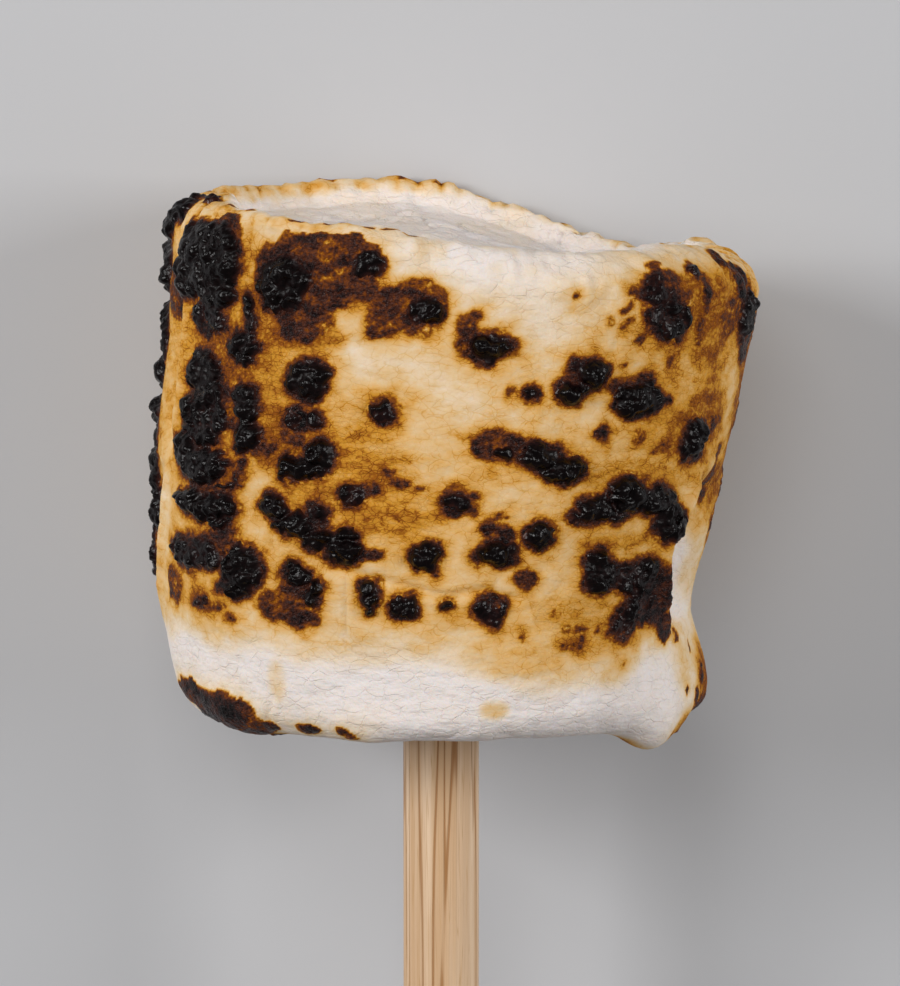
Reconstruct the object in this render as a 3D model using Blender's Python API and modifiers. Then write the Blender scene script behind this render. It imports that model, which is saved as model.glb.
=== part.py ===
"""Toasted marshmallow on a round wooden stick, lying on its back.

The marshmallow is modelled upright, as it was toasted: the stick's axis is
local Z, the well-toasted front faces local -Y and its right side local +X.
It is then laid on its back, so that the front looks up (+Z) and the stick
points along -Y. The origin is the middle of the flat spot it rests on.
All sizes below are millimetres.
"""
import math
import random

import bpy
from mathutils import Matrix, Vector, noise

MM = 0.001

# ------------------------------------------------------------ driving sizes
MEAN_HEIGHT = 26.0          # bottom face to the top rim, averaged around it
NOMINAL_RADIUS = 14.0       # radius of the turned drum before it slumps
BOTTOM_CORNER = 3.4         # round corner between the side and the bottom
RIM_CORNER = 1.5            # round outer corner of the top rim
RIM_FALL = 2.6              # from the rim's crest in to the dish floor
DISH_DEPTH = 1.3            # dish floor below the rim's crest
BOTTOM_DIMPLE = 0.5         # bottom face drawn up where the stick goes in
SQUARENESS = 0.03           # how far the slumped drum bulges between its sides

STICK_RADIUS = 2.0
STICK_LENGTH = 100.0
STICK_INSIDE = 20.0         # length of stick hidden in the marshmallow
STICK_CHAMFER = 0.25
FIT_GAP = 0.3               # clearance between the stick and its hole

LIE_HEIGHT = 13.55          # stick's axis above the surface it lies on
SLAB_SIZE = (60.0, 44.0, 6.0)   # block that takes off what would lie below that surface
HOLE_RUN_OUT = 4.0          # how far the hole's cutter starts below the bottom face

STEPS_AROUND = 104
SIDE_ROWS = 24
CORNER_ROWS = 4
DISH_ROWS = 4
BOTTOM_ROWS = 4

# Height of the top rim, by degrees around: 0 front, 90 right, 180 back
RIM_HEIGHTS = [(0, 26.3), (30, 25.1), (60, 25.2), (90, 24.6), (112, 24.8), (130, 24.1),
               (155, 25.2), (180, 26.9), (225, 26.9), (270, 27.5), (310, 27.9), (340, 27.3)]

# Distance of the skin from the stick's axis, by height, on four sides
FRONT_RADII = [(0, 12.9), (6, 13.3), (13, 13.4), (20, 13.3), (28, 13.0)]
RIGHT_RADII = [(0, 13.4), (3.2, 13.9), (7.4, 13.2), (11.6, 14.4), (14.8, 15.3), (20, 16.3),
               (23.2, 16.9), (28, 16.6)]
BACK_RADII = [(0, 13.7), (5, 14.0), (14, 14.0), (22, 14.0), (28, 13.6)]
LEFT_RADII = [(0, 13.2), (3.2, 13.9), (7.4, 14.7), (11.6, 14.9), (14.8, 14.8), (20, 14.3),
              (28, 14.0)]

# Folds: degrees around at the low and the high end, those two heights, step
# depth and how many degrees the recess takes to come back out
FOLDS = [
    {"low": (55.0, 5.5), "high": (70.0, 15.0), "depth": 1.5, "spread": 30.0},
    {"low": (-82.0, 6.5), "high": (-74.0, 12.5), "depth": 0.5, "spread": -16.0},
    {"low": (-66.0, 14.0), "high": (-64.0, 22.0), "depth": 0.5, "spread": -14.0},
]
FOLD_EDGE = 4.0             # degrees over which a fold's step drops
FOLD_FADE = 2.5             # millimetres over which a fold fades out at its ends

# Burnt crusts seen from the front: across from the stick's axis, height,
# width, height of the patch and how far it stands proud
FRONT_CRUSTS = [
    (-12.2, 24.6, 3.8, 6.0, 0.8),
    (-8.0, 24.4, 3.4, 3.4, 0.6),
    (-3.6, 25.0, 2.6, 2.4, 0.4),
    (-0.9, 23.2, 3.0, 2.2, 0.6),
    (2.3, 21.0, 2.8, 2.2, 0.6),
    (-7.0, 19.2, 2.5, 2.6, 0.5),
    (-11.9, 18.6, 2.0, 5.6, 0.5),
    (-9.9, 17.4, 1.6, 4.0, 0.5),
    (-6.5, 14.9, 3.2, 2.2, 0.5),
    (-3.0, 17.6, 2.0, 1.8, 0.3),
    (-7.0, 11.0, 4.6, 2.0, 0.5),
    (-10.0, 8.8, 2.4, 3.2, 0.5),
    (-7.2, 7.8, 3.2, 3.0, 0.5),
    (-0.9, 10.0, 2.2, 2.0, 0.5),
    (2.7, 10.2, 2.4, 1.6, 0.5),
    (0.8, 12.6, 2.0, 1.5, 0.3),
    (5.9, 14.8, 3.4, 2.3, 0.6),
    (7.2, 19.2, 2.6, 3.0, 0.6),
    (10.3, 18.2, 2.8, 2.6, 0.6),
    (9.9, 12.2, 5.2, 3.2, 0.7),
    (9.2, 8.2, 4.2, 4.4, 0.6),
    (11.9, 23.0, 2.8, 3.4, 0.5),
]

# Burnt crusts on the left edge: degrees around, height, width and height
LEFT_CRUSTS = [(-84, 26.0, 3.0, 2.2), (-95, 24.0, 2.6, 2.6), (-92, 21.0, 2.0, 1.8),
               (-93, 18.6, 2.2, 2.6), (-94, 16.0, 2.4, 2.0), (-92, 12.4, 2.2, 2.6)]
LEFT_CRUST_PROUD = 0.7

# Burnt crusts on the far side: how many, and the sizes between which they vary
BACK_CRUSTS = 22
BACK_CRUST_WIDTHS = (1.8, 4.2)
BACK_CRUST_PROUD = (0.3, 0.6)
BACK_SEED = 11

# Crusts and folds belong to the side: none nearer the axis than the first
# share of the radius, and their full size from the second
SIDE_SHARES = (0.55, 0.9)
WIDEST_SHOWN = 0.98         # share of the radius that the front view still shows

# Soft unevenness of the whole skin
WAVE_SIZE = 6.5
WAVE_DEPTH = 0.22

MARSHMALLOW_COLOUR = (0.60, 0.36, 0.15, 1.0)
STICK_COLOUR = (0.58, 0.38, 0.22, 1.0)


# ------------------------------------------------------------------ curves
def smooth_through(knots, value):
    """Cubic through (position, size) knots, level beyond the first and last."""
    if value <= knots[0][0]:
        return knots[0][1]
    if value >= knots[-1][0]:
        return knots[-1][1]
    last = len(knots) - 1
    i = max(k for k in range(last) if knots[k][0] <= value)

    def slope(k):
        a = knots[max(k - 1, 0)]
        b = knots[min(k + 1, last)]
        return (b[1] - a[1]) / (b[0] - a[0])

    span = knots[i + 1][0] - knots[i][0]
    t = (value - knots[i][0]) / span
    start = knots[i][1] * (1 + 2 * t) + slope(i) * span * t
    end = knots[i + 1][1] * (3 - 2 * t) - slope(i + 1) * span * (1 - t)
    return start * (1 - t) ** 2 + end * t ** 2


def smooth_around(knots, degrees):
    """The same cubic, closed on itself once around the drum."""
    before = [(angle - 360, size) for angle, size in knots[-2:]]
    after = [(angle + 360, size) for angle, size in knots[:2]]
    return smooth_through(before + knots + after, degrees % 360)


def ease(value):
    """0 below 0, 1 above 1 and a smooth rise between."""
    t = min(max(value, 0.0), 1.0)
    return t * t * (3 - 2 * t)


# ------------------------------------------------------- form of the drum
def side_radius(degrees, height):
    """Skin's distance from the axis, from the four sides' own outlines."""
    angle = math.radians(degrees)
    forward = math.cos(angle)
    rightward = math.sin(angle)
    front_or_back = FRONT_RADII if forward > 0 else BACK_RADII
    right_or_left = RIGHT_RADII if rightward > 0 else LEFT_RADII
    radius = (smooth_through(front_or_back, height) * forward ** 2
              + smooth_through(right_or_left, height) * rightward ** 2)
    return radius * (1 + SQUARENESS * (1 - math.cos(4 * angle)) / 2)


def fold_recess(degrees, height):
    """How far the folds draw the skin in."""
    recess = 0.0
    turn = (degrees + 180) % 360 - 180
    for fold in FOLDS:
        low_angle, low = fold["low"]
        high_angle, high = fold["high"]
        edge = low_angle + (high_angle - low_angle) * (height - low) / (high - low)
        past = (turn - edge) * math.copysign(1, fold["spread"])
        reach = ease((height - low) / FOLD_FADE) * ease((high - height) / FOLD_FADE + 0.5)
        back_out = 1 - ease(past / abs(fold["spread"]))
        recess += fold["depth"] * reach * ease(past / FOLD_EDGE + 0.5) * back_out
    return recess


def front_angle(across, height):
    """Degrees around of a point that the front view shows this far across."""
    degrees = 0.0
    for _ in range(4):
        reach = across / side_radius(degrees, height)
        reach = min(max(reach, -WIDEST_SHOWN), WIDEST_SHOWN)
        degrees = math.degrees(math.asin(reach))
    return degrees


def list_crusts():
    """Every burnt crust as (degrees, height, width, height of patch, proud)."""
    crusts = [(front_angle(across, height), height, wide, tall, proud)
              for across, height, wide, tall, proud in FRONT_CRUSTS]
    crusts += [(degrees, height, wide, tall, LEFT_CRUST_PROUD)
               for degrees, height, wide, tall in LEFT_CRUSTS]
    chance = random.Random(BACK_SEED)
    for _ in range(BACK_CRUSTS):
        degrees = chance.uniform(100, 255)
        height = chance.uniform(5, 24)
        wide = chance.uniform(*BACK_CRUST_WIDTHS)
        tall = chance.uniform(*BACK_CRUST_WIDTHS)
        crusts.append((degrees, height, wide, tall, chance.uniform(*BACK_CRUST_PROUD)))
    return crusts


def crust_rise(degrees, height, radius, crusts):
    """How far the burnt crusts lift the skin."""
    rise = 0.0
    for middle, level, wide, tall, proud in crusts:
        turn = (degrees - middle + 180) % 360 - 180
        sideways = math.radians(turn) * radius / (wide / 2)
        upward = (height - level) / (tall / 2)
        rise = max(rise, proud * ease(1.5 - math.hypot(sideways, upward)))
    return rise


def slump(point, crusts):
    """Where a point of the turned drum lies on the toasted marshmallow."""
    radius = math.hypot(point.x, point.y)
    degrees = math.degrees(math.atan2(point.x, -point.y))
    outward = radius / NOMINAL_RADIUS
    lift = smooth_around(RIM_HEIGHTS, degrees) - MEAN_HEIGHT
    height = point.z + lift * outward ** 2 * ease(point.z / MEAN_HEIGHT)
    skin = side_radius(degrees, height)
    inner, outer = SIDE_SHARES
    on_side = ease((outward - inner) / (outer - inner))
    change = crust_rise(degrees, height, skin, crusts) - fold_recess(degrees, height)
    reach = outward * skin + on_side * change
    angle = math.radians(degrees)
    placed = Vector((reach * math.sin(angle), -reach * math.cos(angle), height))
    wave = noise.noise(placed / WAVE_SIZE) * WAVE_DEPTH
    return placed * (1 + wave / NOMINAL_RADIUS)


# ------------------------------------------------------------ construction
def drum_profile():
    """Half outline of the turned drum, from the top's middle down to the bottom's."""
    crest = NOMINAL_RADIUS - RIM_CORNER
    floor = MEAN_HEIGHT - DISH_DEPTH
    inner = crest - RIM_FALL
    points = [(inner * row / DISH_ROWS, floor) for row in range(DISH_ROWS)]
    for row in range(CORNER_ROWS):
        share = row / CORNER_ROWS
        points.append((inner + RIM_FALL * share, floor + DISH_DEPTH * ease(share)))
    for row in range(CORNER_ROWS):
        turn = math.radians(90 * row / CORNER_ROWS)
        points.append((crest + RIM_CORNER * math.sin(turn),
                       MEAN_HEIGHT - RIM_CORNER * (1 - math.cos(turn))))
    top = MEAN_HEIGHT - RIM_CORNER
    for row in range(SIDE_ROWS):
        points.append((NOMINAL_RADIUS, top + (BOTTOM_CORNER - top) * row / SIDE_ROWS))
    heel = NOMINAL_RADIUS - BOTTOM_CORNER
    for row in range(CORNER_ROWS):
        turn = math.radians(90 * row / CORNER_ROWS)
        points.append((heel + BOTTOM_CORNER * math.cos(turn),
                       BOTTOM_CORNER * (1 - math.sin(turn))))
    for row in range(BOTTOM_ROWS + 1):
        share = row / BOTTOM_ROWS
        points.append((heel * (1 - share), BOTTOM_DIMPLE * ease(share)))
    return points


def laid_down(middle_height):
    """Placement that lays an upright piece on its back, its middle over the origin."""
    turn = Matrix.Rotation(math.radians(-90), 4, "X")
    rise = Matrix.Translation((0, 0, LIE_HEIGHT * MM))
    centre = Matrix.Translation((0, 0, -middle_height * MM))
    return rise @ turn @ centre


def principled(name, colour, roughness):
    material = bpy.data.materials.new(name)
    material.use_nodes = True
    shader = material.node_tree.nodes["Principled BSDF"]
    shader.inputs["Base Color"].default_value = colour
    shader.inputs["Roughness"].default_value = roughness
    shader.inputs["Metallic"].default_value = 0.0
    return material


def turned_drum(parts):
    """The plain drum: its half outline turned about the stick's axis."""
    outline = drum_profile()
    mesh = bpy.data.meshes.new("marshmallow")
    corners = [(radius * MM, 0, height * MM) for radius, height in outline]
    mesh.from_pydata(corners, [(i, i + 1) for i in range(len(outline) - 1)], [])
    drum = bpy.data.objects.new("marshmallow", mesh)
    parts.objects.link(drum)
    turn = drum.modifiers.new("turn", "SCREW")
    turn.axis = "Z"
    turn.angle = math.radians(360)
    turn.steps = STEPS_AROUND
    turn.render_steps = STEPS_AROUND
    turn.use_merge_vertices = True
    turn.merge_threshold = 0.00001
    return drum


def make_marshmallow(parts):
    """The drum turned, then slumped, folded and blistered by the fire."""
    drum = turned_drum(parts)
    view = bpy.context.evaluated_depsgraph_get()
    turned = bpy.data.meshes.new_from_object(drum.evaluated_get(view))
    drum.modifiers.clear()
    drum.data = turned
    crusts = list_crusts()
    for vertex in turned.vertices:
        vertex.co = slump(vertex.co / MM, crusts) * MM
    turned.name = "marshmallow"
    turned.shade_smooth()
    turned.materials.append(principled("toasted_marshmallow", MARSHMALLOW_COLOUR, 0.75))
    drum.matrix_world = laid_down(MEAN_HEIGHT / 2)
    return drum


def add_cylinder(name, radius, low, high, collection):
    """A cylinder on the stick's axis between two heights, laid down like the rest."""
    bpy.ops.mesh.primitive_cylinder_add(vertices=32, radius=radius * MM, depth=(high - low) * MM)
    piece = bpy.context.object
    piece.name = name
    piece.data.name = name
    for old in piece.users_collection:
        old.objects.unlink(piece)
    collection.objects.link(piece)
    piece.data.transform(Matrix.Translation((0, 0, (low + high) / 2 * MM)))
    piece.matrix_world = laid_down(MEAN_HEIGHT / 2)
    return piece


def make_stick(parts):
    stick = add_cylinder("stick", STICK_RADIUS, STICK_INSIDE - STICK_LENGTH, STICK_INSIDE, parts)
    ends = stick.modifiers.new("ends", "BEVEL")
    ends.width = STICK_CHAMFER * MM
    ends.segments = 2
    ends.limit_method = "ANGLE"
    stick.data.shade_smooth()
    stick.data.set_sharp_from_angle(angle=math.radians(40))
    stick.data.materials.append(principled("pale_wood", STICK_COLOUR, 0.6))
    return stick


def hide_cutter(cutter):
    cutter.hide_render = True
    cutter.display_type = "WIRE"


def cut_stick_hole(marshmallow, cutters):
    """Blind hole that the stick sits in, open at the bottom face."""
    bore = add_cylinder("stick_hole", STICK_RADIUS + FIT_GAP, -HOLE_RUN_OUT,
                        STICK_INSIDE + FIT_GAP, cutters)
    hide_cutter(bore)
    cut = marshmallow.modifiers.new("stick_hole", "BOOLEAN")
    cut.operation = "DIFFERENCE"
    cut.object = bore


def cut_resting_flat(marshmallow, cutters):
    """Flat strip along the back, level with the surface that it lies on."""
    bpy.ops.mesh.primitive_cube_add(size=1)
    slab = bpy.context.object
    slab.name = "resting_flat"
    for old in slab.users_collection:
        old.objects.unlink(slab)
    cutters.objects.link(slab)
    width, length, depth = SLAB_SIZE
    slab.data.transform(Matrix.Diagonal((width * MM, length * MM, depth * MM, 1)))
    slab.location = (0, 0, -depth / 2 * MM)
    hide_cutter(slab)
    cut = marshmallow.modifiers.new("resting_flat", "BOOLEAN")
    cut.operation = "DIFFERENCE"
    cut.object = slab


def new_collection(name):
    collection = bpy.data.collections.new(name)
    bpy.context.scene.collection.children.link(collection)
    return collection


def main():
    for thing in list(bpy.data.objects):
        bpy.data.objects.remove(thing, do_unlink=True)
    parts = new_collection("toasted_marshmallow")
    cutters = new_collection("cutters")
    marshmallow = make_marshmallow(parts)
    make_stick(parts)
    cut_stick_hole(marshmallow, cutters)
    cut_resting_flat(marshmallow, cutters)


main()
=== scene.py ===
"""Looks of a toasted marshmallow on a round wooden stick, around its CAD frame.

The marshmallow is shaped in its own upright axes, in millimetres: x to the
right of its toasted front, forward out of that front, and height above its
bottom face. It lies on its back, so forward is +Z and height runs along +Y.
Burns and browning on the front are placed as the camera sees them: across
and up from the marshmallow's middle, in millimetres.
"""
import itertools
import math

import bpy
import numpy as np
from mathutils import Matrix, Vector


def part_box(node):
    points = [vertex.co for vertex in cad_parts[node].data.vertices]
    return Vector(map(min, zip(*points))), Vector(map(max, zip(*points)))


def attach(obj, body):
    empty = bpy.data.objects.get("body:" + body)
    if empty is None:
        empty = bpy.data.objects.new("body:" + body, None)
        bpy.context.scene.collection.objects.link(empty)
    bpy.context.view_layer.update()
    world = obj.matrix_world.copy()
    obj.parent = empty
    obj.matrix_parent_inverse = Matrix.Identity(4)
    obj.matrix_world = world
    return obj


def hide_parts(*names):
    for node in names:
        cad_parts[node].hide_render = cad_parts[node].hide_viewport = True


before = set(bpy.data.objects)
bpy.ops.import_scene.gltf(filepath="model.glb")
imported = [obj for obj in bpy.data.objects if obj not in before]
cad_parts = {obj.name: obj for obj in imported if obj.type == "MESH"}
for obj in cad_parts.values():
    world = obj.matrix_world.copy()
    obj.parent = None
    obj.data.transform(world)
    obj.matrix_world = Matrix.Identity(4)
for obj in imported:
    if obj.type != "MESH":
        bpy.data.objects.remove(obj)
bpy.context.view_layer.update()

MM = 0.001
stick_low, stick_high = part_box("stick")
LIE_HEIGHT = (stick_low.z + stick_high.z) / 2 / MM
STICK_RADIUS = (stick_high.x - stick_low.x) / 2 / MM

# ------------------------------------------------------------- driving sizes
MEAN_HEIGHT = 26.0
MIDDLE = MEAN_HEIGHT / 2
NOMINAL_RADIUS = 14.0
DISH_DEPTH = 1.35
BOTTOM_DIMPLE = 0.5
SQUARENESS = 0.03

# Height of the top rim, by degrees around: 0 front, 90 right, 180 back
RIM_HEIGHTS = [(0, 26.0), (30, 25.1), (60, 25.2), (90, 24.6), (112, 24.8), (130, 24.1),
               (155, 25.7), (180, 27.4), (225, 27.5), (270, 27.4), (290, 27.7), (312, 27.2),
               (340, 26.7)]

# Outer corner of the rim, by degrees around: crisp front left, rolled over front right
RIM_CORNERS = [(0, 1.7), (40, 2.4), (75, 2.4), (130, 1.2), (200, 0.9), (250, 1.1), (272, 2.2), (288, 2.2), (308, 0.9),
               (340, 0.9)]

# Height of the bottom's edge, by degrees around
BOTTOM_HEIGHTS = [(0, 0.45), (60, 0.2), (120, 0.0), (240, 0.0), (300, 0.3)]

# How far in from the rim's corner the dish's floor starts, by degrees around
RIM_FALLS = [(0, 2.6), (90, 1.8), (180, 1.15), (270, 1.5)]

# Corner between the side and the bottom, by degrees around
HEEL_CORNERS = [(0, 1.6), (60, 2.2), (120, 2.6), (200, 2.2), (270, 2.4), (320, 1.8)]

# Lumps that swell the skin: degrees around, climb, radius and how far they push it out
BULGES = [(57, 0.0, 2.6, 1.1), (69, 0.2, 2.2, 0.6), (80, 1.6, 2.4, 0.5), (63, -1.2, 2.2, 0.6), (-52, 0.4, 2.6, 0.35), (-18, 0.0, 2.0, 0.1),
          (84, 22.0, 3.5, 0.25)]

# Distance of the skin from the stick's axis, by height, on four sides
FRONT_RADII = [(0, 12.9), (6, 13.3), (13, 13.4), (20, 13.3), (28, 13.0)]
RIGHT_RADII = [(0, 13.4), (3.0, 13.8), (6.0, 13.25), (9.2, 13.95), (11.8, 14.55), (14.8, 15.15),
               (20, 16.05), (23.2, 16.5), (28, 16.2)]
BACK_RADII = [(0, 13.7), (5, 14.0), (14, 14.0), (22, 14.0), (28, 13.6)]
LEFT_RADII = [(0, 13.4), (3.2, 14.3), (7.4, 14.9), (11.6, 14.9), (14.8, 14.8), (20, 14.3),
              (28, 14.0)]

# Folds: the edge's path by height and degrees around, depth of the step, how many
# degrees the recess takes to come back out and whether it stays white
FOLDS = [
    {"edge": [(5.0, 62.0), (7.5, 57.5), (10.0, 55.5), (11.4, 59.5), (12.8, 64.0)],
     "depth": 1.4, "spread": 24.0, "white": True},
    {"edge": [(5.5, -84.0), (9.0, -78.0), (13.0, -74.0)], "depth": 0.9, "spread": -14.0, "white": False},
    {"edge": [(14.0, -69.0), (23.0, -66.5)], "depth": 0.9, "spread": -15.0, "white": False},
]
FOLD_EDGE = 1.3
FOLD_FADE = 2.5
FOLD_LIP = 0.28
WHITE_BELOW = 10.2               # height under which a sheltered fold is white

# ------------------------------------------------------------------- camera
EYE_TILT = math.radians(6.5)     # camera leans towards the marshmallow's top
EYE_DISTANCE = 270.0
VIEW_WIDTH = 47.37               # what the picture spans at the marshmallow's middle
VIEW_HEIGHT = VIEW_WIDTH * 986 / 900
VIEW_OFFSET = (0.47, -1.23)      # picture's middle, across and up from the marshmallow's

# -------------------------------------------------------------------- burns
BLACK = 1.0
DARK = 0.34
UMBER = 0.28                     # from here on a crust rises
SOOT = 0.27                      # as dark, but smooth
BROWN = 0.12
FAINT = 0.02
SCORCH = -0.02

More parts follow.
